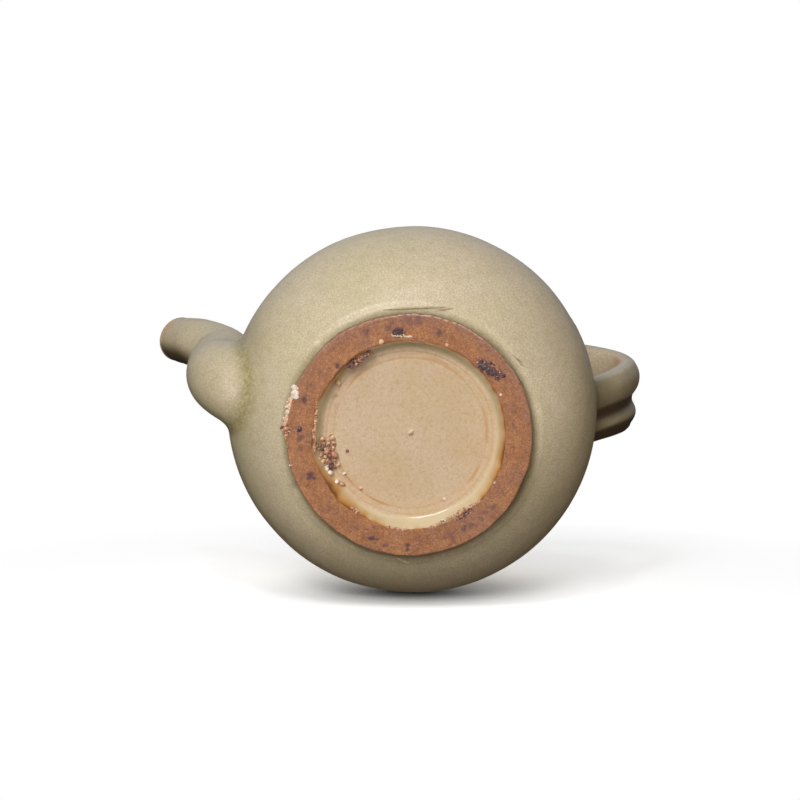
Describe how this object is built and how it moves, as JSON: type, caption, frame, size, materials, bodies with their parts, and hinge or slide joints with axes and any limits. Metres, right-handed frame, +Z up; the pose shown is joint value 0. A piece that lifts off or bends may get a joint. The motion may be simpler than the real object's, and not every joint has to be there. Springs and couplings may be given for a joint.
{
  "type": "ewer",
  "caption": "Small round glazed stoneware ewer with a bare turned foot ring, flared neck, curved spout with a swollen root and a double-strand strap handle.",
  "frame": {"origin": "middle of the outline seen from above, on the plane the foot stands on", "axes": "+Z up through the mouth, the handle towards +X and the spout towards -X"},
  "size_m": [0.1692, 0.1208, 0.1458],
  "materials": {
    "olive_glaze": "glossy translucent olive-grey glaze, finely crackled, greener where it pools",
    "bare_clay": "matt brown-orange fired clay",
    "recess_glaze": "thin glossy tan-beige glaze",
    "kiln_grit": "rough fused grit"
  },
  "bodies": {
    "root": {"foot_ring": "bare_clay", "body": "olive_glaze", "neck": "olive_glaze", "spout": "olive_glaze", "handle_strand_front": "olive_glaze", "handle_strand_back": "olive_glaze"}
  },
  "joints": []
}
